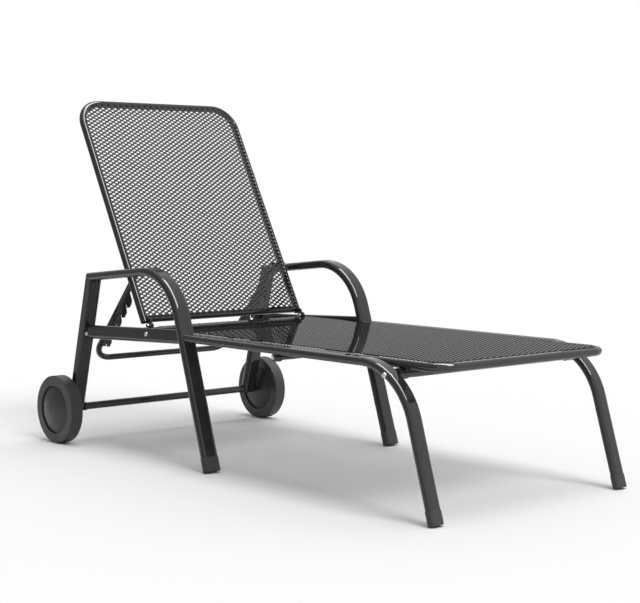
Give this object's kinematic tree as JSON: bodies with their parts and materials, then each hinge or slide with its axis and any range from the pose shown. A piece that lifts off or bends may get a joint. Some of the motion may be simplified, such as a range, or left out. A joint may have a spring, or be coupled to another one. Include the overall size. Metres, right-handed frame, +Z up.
{
  "type": "reclining sun lounger",
  "caption": "Reclining metal garden sun lounger with an expanded-metal seat and backrest, bent tube arms, a toothed back prop and rear transport wheels.",
  "frame": {"origin": "centre of the footprint's bounding box, on the floor", "axes": "+X towards the sitter's left side, +Y towards the head end and the wheels, +Z up"},
  "size_m": [0.802, 1.5772, 0.9831],
  "materials": {
    "powder_coated_steel": "glossy anthracite powder coat",
    "expanded_metal": "glossy anthracite powder coat on expanded metal",
    "black_plastic": "satin moulded plastic",
    "zinc_steel": "bright zinc plating"
  },
  "bodies": {
    "base": {"arm_tube_right": "powder_coated_steel", "rear_leg_right": "powder_coated_steel", "front_leg_right": "powder_coated_steel", "side_rail_right": "powder_coated_steel", "arm_foot_cap_right": "black_plastic", "front_foot_cap_right": "black_plastic", "arm_tube_left": "powder_coated_steel", "rear_leg_left": "powder_coated_steel", "front_leg_left": "powder_coated_steel", "side_rail_left": "powder_coated_steel", "arm_foot_cap_left": "black_plastic", "front_foot_cap_left": "black_plastic", "seat_frame": "powder_coated_steel", "seat_rear_tube": "powder_coated_steel", "seat_hinge_lugs": "powder_coated_steel", "hinge_bolts": "powder_coated_steel", "hinge_nuts": "zinc_steel", "seat_mesh": "expanded_metal", "front_crossbar": "powder_coated_steel", "front_crossbar_collars": "powder_coated_steel", "front_bolts": "zinc_steel", "mid_crossbar": "powder_coated_steel", "mid_bar_lugs": "powder_coated_steel", "mid_bar_bolts": "zinc_steel", "catch_bar": "powder_coated_steel", "rail_bolts": "zinc_steel", "rail_nuts": "zinc_steel", "seat_bolts": "zinc_steel", "seat_bolt_spacers": "powder_coated_steel", "axle_tube": "powder_coated_steel", "axle_rod": "zinc_steel", "axle_collars": "powder_coated_steel", "wheel_spacers": "powder_coated_steel"},
    "backrest": {"back_frame": "powder_coated_steel", "back_bottom_tube": "powder_coated_steel", "back_hinge_lugs": "powder_coated_steel", "back_mesh": "expanded_metal", "prop_pivot_bolts": "zinc_steel", "prop_pivot_nuts": "zinc_steel", "prop_pivot_spacers": "powder_coated_steel"},
    "prop": {"prop_bar": "powder_coated_steel", "rack_right": "powder_coated_steel", "rack_left": "powder_coated_steel"},
    "wheel_right": {"wheel_right": "black_plastic"},
    "wheel_left": {"wheel_left": "black_plastic"}
  },
  "joints": [
    {"name": "backrest_recline", "type": "hinge", "parent": "base", "child": "backrest", "pos_m": [0, 0.37478, 0.353], "axis": [-1, 0, 0], "range_deg": [0, 61.3]},
    {"name": "prop_swing", "type": "hinge", "parent": "backrest", "child": "prop", "pos_m": [0, 0.47232, 0.49888], "axis": [1, 0, 0], "range_deg": [0, 110]},
    {"name": "wheel_right_spin", "type": "hinge", "parent": "base", "child": "wheel_right", "pos_m": [-0.3695, 0.69208, 0.0965], "axis": [1, 0, 0], "continuous": true},
    {"name": "wheel_left_spin", "type": "hinge", "parent": "base", "child": "wheel_left", "pos_m": [0.3695, 0.69208, 0.0965], "axis": [1, 0, 0], "continuous": true}
  ],
  "couplings": [
    {"joint": "prop_swing", "follows": "backrest_recline", "ratio": 1.7863}
  ]
}
